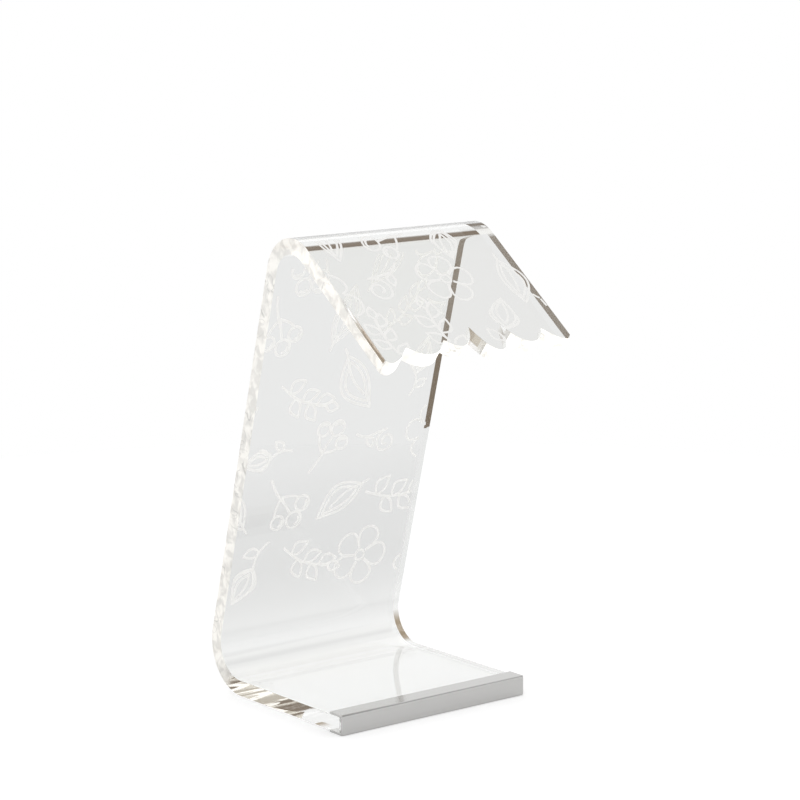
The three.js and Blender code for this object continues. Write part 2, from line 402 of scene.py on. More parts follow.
class Effect:
    """A node group that several finishes share."""

    def __init__(self, name: str, inputs: dict[str, float], outputs: Sequence[str]) -> None:
        """Starts the group with number inputs and number outputs.

        Args:
            name: The group's name.
            inputs: Its inputs and their usual values.
            outputs: The names of its outputs.
        """
        self.tree = bpy.data.node_groups.new(name, "ShaderNodeTree")
        for key, value in inputs.items():
            socket = self.tree.interface.new_socket(key, in_out="INPUT", socket_type="NodeSocketFloat")
            socket.default_value = value
        for key in outputs:
            self.tree.interface.new_socket(key, in_out="OUTPUT", socket_type="NodeSocketFloat")
        self.nodes = Nodes(self.tree)
        self.given = self.tree.nodes.new("NodeGroupInput").outputs
        self.made = self.tree.nodes.new("NodeGroupOutput").inputs

    def give(self, **values: Socket) -> bpy.types.NodeTree:
        """Joins the group's outputs.

        Args:
            values: What feeds each output, by name.

        Returns:
            The finished group.
        """
        for key, value in values.items():
            self.nodes.fill(self.made[key], value)
        return self.tree


class Effects:
    """The node groups, each made once.

    A skin's slow unevenness has a share of its fine one's scale. Scuffs fade in between the mark edges.
    """

    slow_share = 0.08
    mark_edges = (0.52, 0.72)

    def __init__(self) -> None:
        """Makes the groups."""
        self.skin = self.make_skin()
        self.streaks = self.make_streaks()
        self.scuffs = self.make_scuffs()

    def make_skin(self) -> bpy.types.NodeTree:
        """Makes the fine uneven skin of a moulded or printed piece.

        Returns:
            A group that gives a shade about 1 and a height.
        """
        effect = Effect("moulded_skin", {"Scale": 900.0, "Variation": 0.05}, ("Shade", "Height"))
        nodes = effect.nodes
        place = nodes.add("TexCoord").outputs["Object"]
        scale = effect.given["Scale"]
        fine = nodes.add("TexNoise", Vector=place, Scale=scale, Detail=3.0)
        slow = nodes.add("TexNoise", Vector=place, Detail=2.0)
        nodes.fill(slow.inputs["Scale"], nodes.calc("MULTIPLY", scale, self.slow_share))
        both = nodes.calc("ADD", fine.outputs["Fac"], slow.outputs["Fac"])
        centred = nodes.calc("SUBTRACT", both, 1.0)
        shade = nodes.calc("MULTIPLY_ADD", centred, effect.given["Variation"], 1.0)
        return effect.give(Shade=shade, Height=fine.outputs["Fac"])

    @staticmethod
    def make_streaks() -> bpy.types.NodeTree:
        """Makes fine straight lines along X, as brushing or drawing leaves them.

        Returns:
            A group that gives a shade about 1 and a height.
        """
        inputs = {"Along": 12.0, "Across": 4500.0, "Variation": 0.06}
        effect = Effect("streaks", inputs, ("Shade", "Height"))
        nodes = effect.nodes
        place = nodes.add("SeparateXYZ", Vector=nodes.add("TexCoord").outputs["Object"])
        drawn = nodes.add("CombineXYZ")
        for axis, size in (("X", "Along"), ("Y", "Across"), ("Z", "Across")):
            nodes.fill(drawn.inputs[axis], nodes.calc("MULTIPLY", place.outputs[axis], effect.given[size]))
        line = nodes.add("TexNoise", Vector=drawn.outputs[0], Scale=1.0, Detail=4.0, Roughness=0.6)
        centred = nodes.calc("SUBTRACT", line.outputs["Fac"], 0.5)
        shade = nodes.calc("MULTIPLY_ADD", centred, effect.given["Variation"], 1.0)
        return effect.give(Shade=shade, Height=line.outputs["Fac"])

    def make_scuffs(self) -> bpy.types.NodeTree:
        """Makes the faint marks of handling.

        Returns:
            A group that gives a mask.
        """
        effect = Effect("scuffs", {"Scale": 60.0, "Amount": 0.05}, ("Mask",))
        nodes = effect.nodes
        place = nodes.add("TexCoord").outputs["Object"]
        cloud = nodes.add("TexNoise", Vector=place, Detail=6.0, Distortion=0.6)
        nodes.fill(cloud.inputs["Scale"], effect.given["Scale"])
        patch = nodes.step(cloud.outputs["Fac"], *self.mark_edges)
        return effect.give(Mask=nodes.calc("MULTIPLY", patch, effect.given["Amount"]))


class Shader(Nodes):
    """A material's node tree while it is being built."""

    def __init__(self, name: str, **values: object) -> None:
        """Starts a material with one Principled BSDF.

        Args:
            name: The material's name.
            values: The BSDF's constant values, by name with underscores for spaces.
        """
        self.material = bpy.data.materials.new(name)
        self.material.use_nodes = True
        super().__init__(self.material.node_tree)
        self.surface = self.tree.nodes["Principled BSDF"]
        self.output = self.tree.nodes["Material Output"].inputs["Surface"]
        self.set(**values)

    def set(self, **values: object) -> None:
        """Fills inputs of the Principled BSDF, by name with underscores for spaces."""
        for key, value in values.items():
            self.fill(self.surface.inputs[key.replace("_", " ")], value)

    def effect(self, group: bpy.types.NodeTree, **values: float) -> bpy.types.Node:
        """Places a shared effect.

        Args:
            group: The effect.
            values: Its own values here.

        Returns:
            The group's node.
        """
        node = self.add("Group", node_tree=group)
        for key, value in values.items():
            node.inputs[key].default_value = value
        return node

    def bump(self, height: Socket, distance: float) -> None:
        """Gives the surface a fine relief, as high as the distance where its height is 1."""
        node = self.add("Bump", Strength=1.0, Distance=distance, Height=height)
        self.set(Normal=node.outputs[0])

    def swap(self, mask: Socket, first: Socket, second: Socket) -> None:
        """Shows one shader, and another in its place where a mask is 1.

        Args:
            mask: The mask.
            first: The shader's output.
            second: The other shader's output.
        """
        mix = self.add("MixShader", Fac=mask)
        self.fill(mix.inputs[1], first)
        self.fill(mix.inputs[2], second)
        self.fill(self.output, mix.outputs[0])


# Finishes


@dataclass(frozen=True)
class ClearAcrylic:
    """Clear acrylic, polished, which lets the light of lamps through with little loss."""

    name: str = "clear_acrylic"
    tint: Colour = (0.975, 0.98, 0.972, 1)
    shadow: float = 0.97

    def material(self, effects: Effects) -> Material:
        """Makes the material.

        Args:
            effects: The shared effects.

        Returns:
            The material.
        """
        shader = Shader(self.name, Base_Color=self.tint, IOR=1.49, Transmission_Weight=1.0)
        marks = shader.effect(effects.scuffs, Scale=45.0, Amount=0.02).outputs["Mask"]
        shader.set(Roughness=marks)
        self.finish(shader, marks)
        clear = shader.add("BsdfTransparent", Color=grey(self.shadow))
        shadow = shader.add("LightPath").outputs["Is Shadow Ray"]
        shader.swap(shadow, shader.surface.outputs[0], clear.outputs[0])
        return shader.material

    def finish(self, shader: Shader, marks: Socket) -> None:
        """Leaves the surface plain. A cut edge adds its own looks here."""


@dataclass(frozen=True)
class PolishedEdge(ClearAcrylic):
    """A cut and polished edge, with painted glow or painted shade from outside, as the glow attribute says.
    """

    name: str = "polished_edge"
    satin: float = 0.3
    satin_glow: float = 0.3
    ripple: float = 0.05 * MM
    glow: Colour = (1.0, 0.975, 0.92, 1)
    # Painted shade: the brown of the dark room that the edge mirrors, laid into its colour.
    painted_shade: Colour = (0.25, 0.18, 0.12, 1)
    cloud_edges: Range = (0.36, 0.64)
    cloud_levels: Range = (0.84, 1.14)
    cover: float = 1.45
    least_clear: float = 0.2
    vein_edges: Range = (0.006, 0.018)
    vein_patches: Range = (0.5, 0.58)
    vein_depth: float = 0.3

    def finish(self, shader: Shader, marks: Socket) -> None:
        """Adds the edge's ripples, painted glow and painted shade.

        Args:
            shader: The material's node tree.
            marks: The roughness that handling leaves.
        """
        place = shader.add("TexCoord").outputs["Object"]
        waves = shader.add("TexNoise", Vector=place, Scale=120.0, Detail=1.0)
        shader.bump(waves.outputs["Fac"], self.ripple)
        level = shader.add("Attribute", attribute_name="glow").outputs["Fac"]
        front = shader.calc("SUBTRACT", 1.0, shader.add("NewGeometry").outputs["Backfacing"])
        outside = shader.calc("MULTIPLY", shader.calc("MAXIMUM", level, 0.0), front)
        satin = shader.step(outside, 0.0, self.satin_glow, 0.0, self.satin)
        shader.set(Roughness=shader.calc("ADD", marks, satin))
        clouds = shader.add("TexNoise", Vector=place, Scale=150.0, Detail=2.0, Distortion=0.6)
        cloud = shader.step(clouds.outputs["Fac"], *self.cloud_edges, *self.cloud_levels)
        light = shader.calc("MULTIPLY", outside, cloud)
        light = shader.calc("MULTIPLY", light, self.veins(shader, place))
        shader.set(Emission_Color=shader.scaled(self.glow, light), Emission_Strength=1.0)
        covered = shader.calc("MULTIPLY_ADD", outside, -self.cover, 1.0)
        clear = shader.calc("MAXIMUM", covered, self.least_clear)
        base = shader.scaled(self.tint, shader.calc("POWER", clear, 2.0))
        # Where the glow attribute is below zero, painted shade turns the edge brown, from outside only.
        dark = shader.calc("MAXIMUM", shader.calc("MULTIPLY", level, -1.0), 0.0)
        shade_mask = shader.calc("MULTIPLY", dark, front)
        shader.set(Base_Color=shader.blend(shade_mask, base, self.painted_shade))

    def veins(self, shader: Shader, place: Socket) -> Socket:
        """Adds thin darker lines, here and there, to an edge's painted glow.

        Args:
            shader: The material's node tree.
            place: The coordinates.

        Returns:
            How much of the painted glow is left.
        """
        slow = shader.add("TexNoise", Vector=place, Scale=70.0, Detail=1.0, Distortion=1.2).outputs["Fac"]
        off = shader.calc("ABSOLUTE", shader.calc("SUBTRACT", slow, 0.5))
        line = shader.step(off, *self.vein_edges, 1.0, 0.0)
        where = shader.add("TexNoise", Vector=place, Scale=26.0).outputs["Fac"]
        patch = shader.step(where, *self.vein_patches)
        return shader.calc("MULTIPLY_ADD", shader.calc("MULTIPLY", line, patch), -self.vein_depth, 1.0)


@dataclass(frozen=True)
class EngravedAcrylic:
    """The frosted bottom of an engraved line, which scatters the light inside the sheet."""

    colour: Colour = (0.72, 0.715, 0.7, 1)
    glow: Colour = (1.0, 0.99, 0.965, 1)
    relief: float = 0.004 * MM

    def material(self, effects: Effects) -> Material:
        """Makes the material.

        Args:
            effects: The shared effects.

        Returns:
            The material.
        """
        shader = Shader("engraved_lines", Roughness=0.85, Emission_Strength=1.0)
        frost = shader.effect(effects.skin, Scale=2500.0, Variation=0.1)
        shader.set(Base_Color=shader.scaled(self.colour, frost.outputs["Shade"]))
        level = shader.add("Attribute", attribute_name="glow").outputs["Fac"]
        light = shader.calc("MULTIPLY", level, frost.outputs["Shade"])
        shader.set(Emission_Color=shader.scaled(self.glow, light))
        shader.bump(frost.outputs["Height"], self.relief)
        mirrored = shader.calc("GREATER_THAN", shader.add("LightPath").outputs["Glossy Depth"], 0.5)
        shader.swap(mirrored, shader.surface.outputs[0], shader.add("BsdfTransparent").outputs[0])
        return shader.material


@dataclass(frozen=True)
class BrushedAluminium:
    """Satin anodised aluminium with its grain along X."""

    colour: Colour = (0.63, 0.625, 0.615, 1)
    roughness: float = 0.13
    relief: float = 0.0006 * MM

    def material(self, effects: Effects) -> Material:
        """Makes the material.

        Args:
            effects: The shared effects.

        Returns:
            The material.
        """
        shader = Shader("brushed_aluminium", Metallic=1.0)
        grain = shader.effect(effects.streaks, Along=5.0, Across=2600.0, Variation=0.07)
        marks = shader.effect(effects.scuffs, Scale=60.0, Amount=0.02)
        shader.set(Base_Color=shader.scaled(self.colour, grain.outputs["Shade"]))
        rough = shader.calc("MULTIPLY", grain.outputs["Shade"], self.roughness)
        shader.set(Roughness=shader.calc("ADD", rough, marks.outputs["Mask"]))
        shader.bump(grain.outputs["Height"], self.relief)
        return shader.material


@dataclass(frozen=True)
class MouldedFinish:
    """A plain material with the fine skin of a moulded, printed or cast piece."""

    name: str
    colour: Colour
    roughness: float
    metallic: float = 0.0
    scale: float = 1500.0
    variation: float = 0.08
    relief: float = 0.01 * MM
    mark_spread: float = 12.0
    mark_roughness: float = 0.1
    light: float = 0.0
    glow: Colour = (1.0, 0.9, 0.72, 1)

    def material(self, effects: Effects) -> Material:
        """Makes the material.

        Args:
            effects: The shared effects.

        Returns:
            The material.
        """
        shader = Shader(self.name, Metallic=self.metallic)
        skin = shader.effect(effects.skin, Scale=self.scale, Variation=self.variation)
        spread = self.scale / self.mark_spread
        marks = shader.effect(effects.scuffs, Scale=spread, Amount=self.mark_roughness)
        shade = skin.outputs["Shade"]
        shader.set(Base_Color=shader.scaled(self.colour, shade))
        shader.set(Roughness=shader.calc("ADD", marks.outputs["Mask"], self.roughness))
        shader.bump(skin.outputs["Height"], self.relief)
        if self.light:
            shader.set(Emission_Color=shader.scaled(self.glow, shade), Emission_Strength=self.light)
        return shader.material


@dataclass(frozen=True)
class ClearSilicone:
    """The soft clear material of the bumper feet."""

    tint: Colour = (0.93, 0.94, 0.93, 1)
    cover: float = 0.15
    roughness: float = 0.16
    relief: float = 0.015 * MM

    def material(self, effects: Effects) -> Material:
        """Makes the material.

        Args:
            effects: The shared effects.

        Returns:
            The material.
        """
        shader = Shader("clear_silicone", IOR=1.41, Transmission_Weight=1.0, Base_Color=self.tint)
        shader.set(Alpha=self.cover)
        skin = shader.effect(effects.skin, Scale=1800.0, Variation=0.3)
        shader.set(Roughness=shader.calc("MULTIPLY", skin.outputs["Shade"], self.roughness))
        shader.bump(skin.outputs["Height"], self.relief)
        return shader.material


class Finishes:
    """The lamp's materials, each made once."""

    def __init__(self, effects: Effects) -> None:
        """Makes the materials.

        Args:
            effects: The shared effects.
        """

        def moulded(name: str, colour: Triple, roughness: float, **more: float) -> Material:
            """Returns the material of a moulded, printed or cast piece."""
            return MouldedFinish(name, (*colour, 1), roughness, **more).material(effects)

        self.sheet_face = ClearAcrylic().material(effects)
        self.sheet_edge = PolishedEdge().material(effects)
        self.engraving = EngravedAcrylic().material(effects)
        self.aluminium = BrushedAluminium().material(effects)
        self.tape = moulded("foam_tape", (0.82, 0.81, 0.78), 0.75, scale=3000)
        # The board and the LED cups get a painted glow for the LEDs' light round them; the phosphor gel is
        # the lamp.
        self.board = moulded("white_board", (0.86, 0.86, 0.84), 0.42, light=0.3)
        self.cup = moulded("led_cup", (0.88, 0.87, 0.84), 0.4, light=0.4)
        self.gel = moulded("phosphor_gel", (0.86, 0.66, 0.2), 0.3, scale=6000, variation=0.2, light=1.6)
        self.resistor = moulded("resistor", (0.025, 0.025, 0.03), 0.45, scale=4000)
        self.solder = moulded("solder", (0.6, 0.6, 0.61), 0.28, metallic=1.0, scale=3500)
        self.pad = moulded("tinned_pad", (0.72, 0.6, 0.42), 0.3, metallic=1.0)
        self.red = moulded("red_wire", (0.5, 0.025, 0.02), 0.42, scale=2500)
        self.black = moulded("black_wire", (0.02, 0.02, 0.022), 0.42, scale=2500)
        self.rubber = moulded("white_rubber", (0.72, 0.72, 0.7), 0.6, relief=0.03 * MM)
        self.silicone = ClearSilicone().material(effects)


# The bent sheet


@dataclass(frozen=True)
class Petal:
    """One petal of the lip's free edge: half an ellipse, in shares of the width and of the lip's length."""

    centre: float
    half_width: float
    reach: float


PETALS = (
    Petal(0.0, 0.19, 1.0),
    Petal(0.24, 0.155, 0.965),
    Petal(0.42, 0.12, 0.93),
    Petal(0.6, 0.09, 1.0),
    Petal(0.79, 0.125, 0.965),
    Petal(1.0, 0.165, 0.985),
)


@dataclass
class SheetForm:
    """The sheet's sizes, and how the flat blank is bent.

    In the flat, x runs across, y along the sheet from its front edge, and z up from its outer face.
    """

    thickness: float = 10 * MM
    rear_radius: float = 21 * MM
    lean: float = math.radians(14.7)
    back: float = 248 * MM
    top_radius: float = 16 * MM
    drop: float = math.radians(37.3)
    lip: float = 98 * MM
    petal_depth: float = 36 * MM
    petal_corner: float = 4.5 * MM
    chamber: float = 1.7 * MM
    wall: float = 1.5 * MM
    width: float = field(init=False)
    base: float = field(init=False)
    front: float = field(init=False)
    rear_centre: Vector = field(init=False)
    top_centre: Vector = field(init=False)

    def __post_init__(self) -> None:
        """Takes the width and the places from the CAD nodes."""
        low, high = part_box("acrylic_body")
        self.width = high.x - low.x
        self.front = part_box("base_channel")[0].y + self.wall + self.chamber
        bend = high.y - self.rear_radius - self.thickness
        self.base = bend - self.front
        self.rear_centre = Vector((0, bend, low.z + self.thickness + self.rear_radius))
        self.top_centre = (
            self.rear_centre
            + self.normal(self.lean) * (self.rear_radius - self.top_radius)
            + self.heading(self.lean) * self.back
        )

    @staticmethod
    def normal(angle: float) -> Vector:
        """Returns the direction away from a bend's centre at an angle from level."""
        return Vector((0, math.cos(angle), math.sin(angle)))

    @staticmethod
    def heading(angle: float) -> Vector:
        """Returns the direction along the sheet at an angle from level."""
        return Vector((0, -math.sin(angle), math.cos(angle)))

    @property
    def stations(self) -> tuple[float, float, float, float]:
        """Works out where the bends are.

        Returns:
            Where each bend starts and ends along the flat blank.
        """
        middle = self.thickness / 2
        rear_end = self.base + (math.pi / 2 + self.lean) * (self.rear_radius + middle)
        top_start = rear_end + self.back
        top_end = top_start + (math.pi / 2 - self.lean + self.drop) * (self.top_radius + middle)
        return self.base, rear_end, top_start, top_end

    @property
    def length(self) -> float:
        """Returns the flat blank's length to its longest petal."""
        return self.stations[3] + self.lip

    def reach(self, across: float) -> float:
        """Gives how far along the flat blank the petals reach.

        Args:
            across: The place across the lamp.

        Returns:
            The edge's place along the blank.
        """
        reaches = []
        for petal in PETALS:
            offset = (across / self.width + 0.5 - petal.centre) / petal.half_width
            rise = math.sqrt(max(0.0, 1 - offset * offset))
            reaches.append(self.lip * petal.reach - self.petal_depth * (1 - rise))
        past = min(1.0, max(0.0, (abs(across) - self.width / 2) / self.petal_corner + 1))
        return self.stations[3] + max(reaches) - self.petal_corner * (1 - math.sqrt(1 - past * past))

    def evenly_round(self, across: float) -> float:
        """Moves a place across the lamp so that the points of a corner round lie at even angles.

        Args:
            across: The place across the lamp.

        Returns:
            The moved place, unchanged between the two corners.
        """
        past = (abs(across) - self.width / 2) / self.petal_corner + 1
        if not 0 < past < 1:
            return across
        turned = math.sin(math.pi / 2 * past) - past
        return math.copysign(abs(across) + turned * self.petal_corner, across)

    def bend(self, flat: Vector) -> Vector:
        """Moves a point of the flat blank to its place in the bent sheet.

        Args:
            flat: The point in the flat.

        Returns:
            The point in the lamp.
        """
        across = Vector((flat.x, 0, 0))
        rear_start, rear_end, top_start, top_end = self.stations
        depth = self.thickness - flat.z
        rear, top = self.rear_radius + depth, self.top_radius + depth
        if flat.y <= rear_start:
            return across + self.rear_centre + Vector((0, flat.y - rear_start, -rear))
        if flat.y <= rear_end:
            angle = self.lean - (rear_end - flat.y) / (self.rear_radius + self.thickness / 2)
            return across + self.rear_centre + self.normal(angle) * rear
        if flat.y <= top_start:
            foot = self.rear_centre + self.normal(self.lean) * rear
            return across + foot + self.heading(self.lean) * (flat.y - rear_end)
        if flat.y <= top_end:
            angle = self.lean + (flat.y - top_start) / (self.top_radius + self.thickness / 2)
            return across + self.top_centre + self.normal(angle) * top
        end = math.pi / 2 + self.drop
        start = self.top_centre + self.normal(end) * top
        return across + start + self.heading(end) * (flat.y - top_end)


class SheetFace(Enum):
    """The sheet's kinds of face."""

    BROAD = "broad"
    SIDE = "side"
    PETAL = "petal"
    FRONT = "front"


@dataclass
class AcrylicBody:
    """The bent sheet: a flat blank, routed, its edges broken, and bent.

    Its sides have a painted glow from the rear bend on, but for a strip of painted shade along the lip's
    outer face. The edge of a petal has a painted glow where it faces along the sheet, and painted shade on
    its flanks.
    """

    form: SheetForm
    arris: float = 0.4 * MM
    arris_steps: int = 3
    bend_steps: int = 44
    straight_step: float = 6 * MM
    petal_steps: int = 220
    overrun: float = 5 * MM
    broad_normal: float = 0.92
    side_depth: float = 0.6 * MM
    petal_glow: float = 1.15
    petal_facing: Range = (0.24, 0.54)
    flank_shade: float = 0.75
    # How much painted shade a petal's flank gets.
    bend_glow: float = 0.66
    back_glow: float = 0.66
    lip_glow: float = 0.74
    glow_run: float = 16 * MM
    strip_height: float = 3 * MM
    strip_start: float = 41.6 * MM

    def blank(self) -> Piece:
        """Makes the flat blank, with loops enough to bend it.

        Returns:
            The blank, longer than the longest petal.
        """
        half = self.form.width / 2
        end = self.form.length + self.overrun
        piece = block("bent_sheet", Vector((-half, 0, 0)), Vector((half, end, self.form.thickness)))
        stations = self.form.stations
        runs = list(zip((0, *stations), (*stations, end)))
        with editing(piece):
            for place in stations:
                bpy.ops.mesh.select_all(action="SELECT")
                bpy.ops.mesh.bisect(plane_co=(0, place, 0), plane_no=(0, 1, 0))
            for number, (start, stop) in enumerate(runs):
                bent = number % 2 == 1
                steps = self.bend_steps if bent else round((stop - start) / self.straight_step)
                select_edges(piece, self.spans(start, stop))
                bpy.ops.mesh.subdivide(number_cuts=steps - 1)
            bpy.ops.mesh.select_all(action="SELECT")
            bpy.ops.mesh.bisect(plane_co=(0, 0, self.strip_height), plane_no=(0, 0, 1))
        return piece

    @staticmethod
    def spans(start: float, stop: float) -> Callable[[Vector, Vector], bool]:
        """Makes a test for the edges that run from one place along the blank to another.

        Args:
            start: The first place.
            stop: The other place.

        Returns:
            The test, which takes an edge's two ends.
        """
        return lambda one, other: (
            abs(min(one.y, other.y) - start) < NEAR and abs(max(one.y, other.y) - stop) < NEAR
        )

    def waste(self) -> Piece:
        """Makes the waste that the router takes off to leave the petals.

        Returns:
            The waste as a solid.
        """
        half = self.form.width / 2
        side = half + self.overrun
        start = self.form.stations[3]
        low = Vector((-side, start, -self.overrun))
        high = Vector((side, self.form.length + 2 * self.overrun, self.form.thickness + self.overrun))
        waste = block("waste", low, high)
        with editing(waste):
            select_edges(waste, lambda one, other: abs(one.x - other.x) > side)
            bpy.ops.mesh.subdivide(number_cuts=self.petal_steps - 1)
        for vertex in waste.data.vertices:
            if vertex.co.y < start + NEAR:
                vertex.co.x = self.form.evenly_round(vertex.co.x)
                vertex.co.y = self.form.reach(min(half, max(-half, vertex.co.x)))
        return waste

    def kind(self, polygon: bpy.types.MeshPolygon) -> SheetFace:
        """Gives the kind of a face of the flat blank.

        Args:
            polygon: The face.

        Returns:
            Its kind.
        """
        if abs(polygon.normal.z) > self.broad_normal:
            return SheetFace.BROAD
        if abs(polygon.center.x) > self.form.width / 2 - self.side_depth:
            return SheetFace.SIDE
        return SheetFace.PETAL if polygon.center.y > self.form.stations[3] else SheetFace.FRONT

    def mark(self, piece: Piece) -> None:
        """Gives the flat sheet its material slots, and says how much each edge glows.

        Args:
            piece: The flat sheet.
        """
        mesh = piece.data
        glow = mesh.attributes.new("glow", "FLOAT", "CORNER")
        for polygon in mesh.polygons:
            kind = self.kind(polygon)
            polygon.material_index = 0 if kind is SheetFace.BROAD else 1
            for loop in polygon.loop_indices:
                place = mesh.vertices[mesh.loops[loop].vertex_index].co
                glow.data[loop].value = self.glow(kind, place, polygon)

    def glow(self, kind: SheetFace, place: Vector, polygon: bpy.types.MeshPolygon) -> float:
        """Gives how strongly a place on an edge glows.

        Args:
            kind: The face's kind.
            place: The place on the flat sheet.
            polygon: The face in the flat.

        Returns:
            The level of painted glow, below zero where the edge gets painted shade.
        """
        # A petal's edge gets painted glow where it faces along the sheet, and painted shade on its flanks.
        if kind is SheetFace.PETAL:
            corner = abs(place.x) > self.form.width / 2 - self.form.petal_corner
            facing = 1.0 if corner else share(polygon.normal.y, *self.petal_facing)
            return facing * self.petal_glow - (1 - facing) * self.flank_shade
        if kind is not SheetFace.SIDE:
            return 0.0
        rear_start, rear_end, _, top_end = self.form.stations
        half_run = self.glow_run / 2
        level = 0.0
        for middle, target in (
            (rear_start + self.glow_run, self.bend_glow),
            (rear_end + self.glow_run, self.back_glow),
            (top_end - self.glow_run, self.lip_glow),
        ):
            level += (target - level) * share(place.y, middle - half_run, middle + half_run)
        # Painted shade: a dark strip along the lip's outer face, where the edge mirrors the dark room.
        if polygon.center.y > top_end and polygon.center.z < self.strip_height:
            start = top_end + self.strip_start + self.glow_run * place.z / self.strip_height
            level -= share(place.y, start, start + self.glow_run) * (level + 1)
        return level

    def build(self) -> Piece:
        """Makes the bent sheet.

        Returns:
            The finished piece.
        """
        piece, waste = self.blank(), self.waste()
        apply_modifier(piece, "BOOLEAN", operation="DIFFERENCE", object=waste, solver="EXACT")
        bpy.data.objects.remove(waste)
        sharp = {"limit_method": "ANGLE", "angle_limit": math.radians(40)}
        apply_modifier(piece, "BEVEL", width=self.arris, segments=self.arris_steps, **sharp)
        self.mark(piece)
        for vertex in piece.data.vertices:
            vertex.co = self.form.bend(vertex.co)
        with editing(piece):
            bpy.ops.mesh.select_all(action="SELECT")
            bpy.ops.mesh.normals_make_consistent(inside=False)
        smooth(piece)
        return piece


# The engraving. A motif is drawn round its own middle, in shares of its size.


class Motif(Enum):
    """The plants that the engraving is made of."""

    LEAF = "leaf"
    BLOSSOM = "blossom"
    SPRIG = "sprig"
    BUD = "bud"
    TENDRIL = "tendril"
    BERRIES = "berries"


def trace(path: Callable[[float], Pair], steps: int) -> Stroke:
    """Returns the points of a curve that gives a point for each share from 0 to 1."""
    return [Vector(path(number / steps)) for number in range(steps + 1)]


def moved(strokes: Sequence[Stroke], place: Pair, turn: float, scale: float) -> list[Stroke]:
    """Returns strokes that are turned, scaled and moved, in that order."""
    spin = Matrix.Rotation(turn, 2)
    return [[spin @ point * scale + Vector(place) for point in stroke] for stroke in strokes]


def ring(radius: float, centre: Pair = (0.0, 0.0), turns: float = 1.0) -> Stroke:
    """Draws a circle or a part of one.

    Args:
        radius: Its radius.
        centre: Its centre.
        turns: How much of a turn is drawn.

    Returns:
        The arc.
    """
    full = 2 * math.pi * turns

    def path(t: float) -> Pair:
        """Runs round the centre."""
        return centre[0] + radius * math.cos(full * t), centre[1] + radius * math.sin(full * t)

    return trace(path, 28)


def blade(half_width: float, low: float, high: float, bow: float) -> Stroke:
    """Draws the outline of a leaf.

    Args:
        half_width: Half its width.
        low: Its lower end.
        high: Its tip.
        bow: How far its middle bows aside.

    Returns:
        The outline, closed at its lower end.
    """

    def path(t: float) -> Pair:
        """Runs up one side of the leaf and down the other.

        Args:
            t: The share of the way.

        Returns:
            The point.
        """
        rise = 1 - abs(2 * t - 1)
        side = 1 if t < 0.5 else -1
        swell = math.sin(math.pi * rise) * (1.15 - 0.4 * rise)
        return side * half_width * swell + bow * math.sin(math.pi * rise), low + (high - low) * rise

    return trace(path, 56)


def leaflet(foot: Pair, turn: float, size: float, bow: float, half_width: float = 0.3) -> list[Stroke]:
    """Returns a small leaf that grows from a point of a stem."""
    return moved([blade(half_width, 0.0, 1.0, bow)], foot, turn, size)


def leaf() -> list[Stroke]:
    """Draws a broad leaf with a double outline and its middle vein.

    Returns:
        Its strokes.
    """
    bow = 0.07

    def vein(t: float) -> Pair:
        """Runs up from the stalk and bows as the leaf does."""
        return bow * math.sin(math.pi * max(0.0, 1.1 * t - 0.12)), -0.56 + 0.82 * t

    return [blade(0.23, -0.42, 0.5, bow), blade(0.155, -0.32, 0.4, bow), trace(vein, 20)]


def blossom() -> list[Stroke]:
    """Draws a five-petalled blossom round a small ring.

    Returns:
        Its strokes.
    """
    strokes = [ring(0.085)]
    for petal in range(5):
        middle = math.tau * petal / 5 + 0.3

        def outline(t: float, middle: float = middle) -> Pair:
            """Runs out along one side of a petal and back along the other.

            Args:
                t: The share of the way.
                middle: The petal's angle.

            Returns:
                The point.
            """
            radius = 0.12 + 0.37 * math.sin(math.pi * t) ** 0.55
            angle = middle + 0.6 * math.cos(math.pi * t)
            return radius * math.cos(angle), radius * math.sin(angle)

        strokes.append(trace(outline, 30))
    return strokes


def sprig() -> list[Stroke]:
    """Draws a curved stem with leaves in turn on either side.

    Returns:
        Its strokes.
    """

    def stem(t: float) -> Pair:
        """Runs up the stem."""
        return 0.1 * math.sin(3 * t), -0.5 + 0.95 * t

    strokes = [trace(stem, 24)]
    for number in range(5):
        side = 1 if number % 2 else -1
        turn = -side * math.radians(58 - 6 * number)
        strokes += leaflet(stem(0.22 + 0.15 * number), turn, 0.32, 0.1 * side)
    strokes += leaflet((0.1 * math.sin(3), 0.44), 0.1, 0.26, 0.05)
    return strokes


def bud() -> list[Stroke]:
    """Draws a closed bud on its stem.

    Returns:
        Its strokes.
    """
    strokes = [blade(0.17, -0.05, 0.5, 0.0), blade(0.08, 0.02, 0.46, 0.02)]
    for side in (-1, 1):
        strokes.append(trace(lambda t, s=side: (s * 0.2 * math.sin(2.4 * t), -0.07 + 0.34 * t), 14))
    strokes.append(trace(lambda t: (0.06 * math.sin(math.pi * t), -0.07 - 0.43 * t), 16))
    strokes += leaflet((0.05, -0.3), -1.0, 0.27, 0.08, half_width=0.28)
    return strokes


def tendril() -> list[Stroke]:
    """Draws a tendril that curls up at its end.

    Returns:
        Its strokes.
    """

    def stem(t: float) -> Pair:
        """Leans in and comes upright where the curl begins."""
        return -0.19 + 0.16 * math.sin(math.pi * (1 - t)) * (1 - t), -0.5 + 0.7 * t

    def curl(t: float) -> Pair:
        """Winds inwards by one turn and a half.

        Args:
            t: The share of the way.

        Returns:
            The point.
        """
        radius = 0.24 * (1 - 0.8 * t)
        angle = math.pi * (1 + 3.1 * t)
        return radius * math.cos(angle) + 0.05, radius * math.sin(angle) + 0.2

    return [trace(stem, 24) + trace(curl, 46)[1:], *leaflet((-0.07, -0.24), -0.9, 0.24, -0.08)]


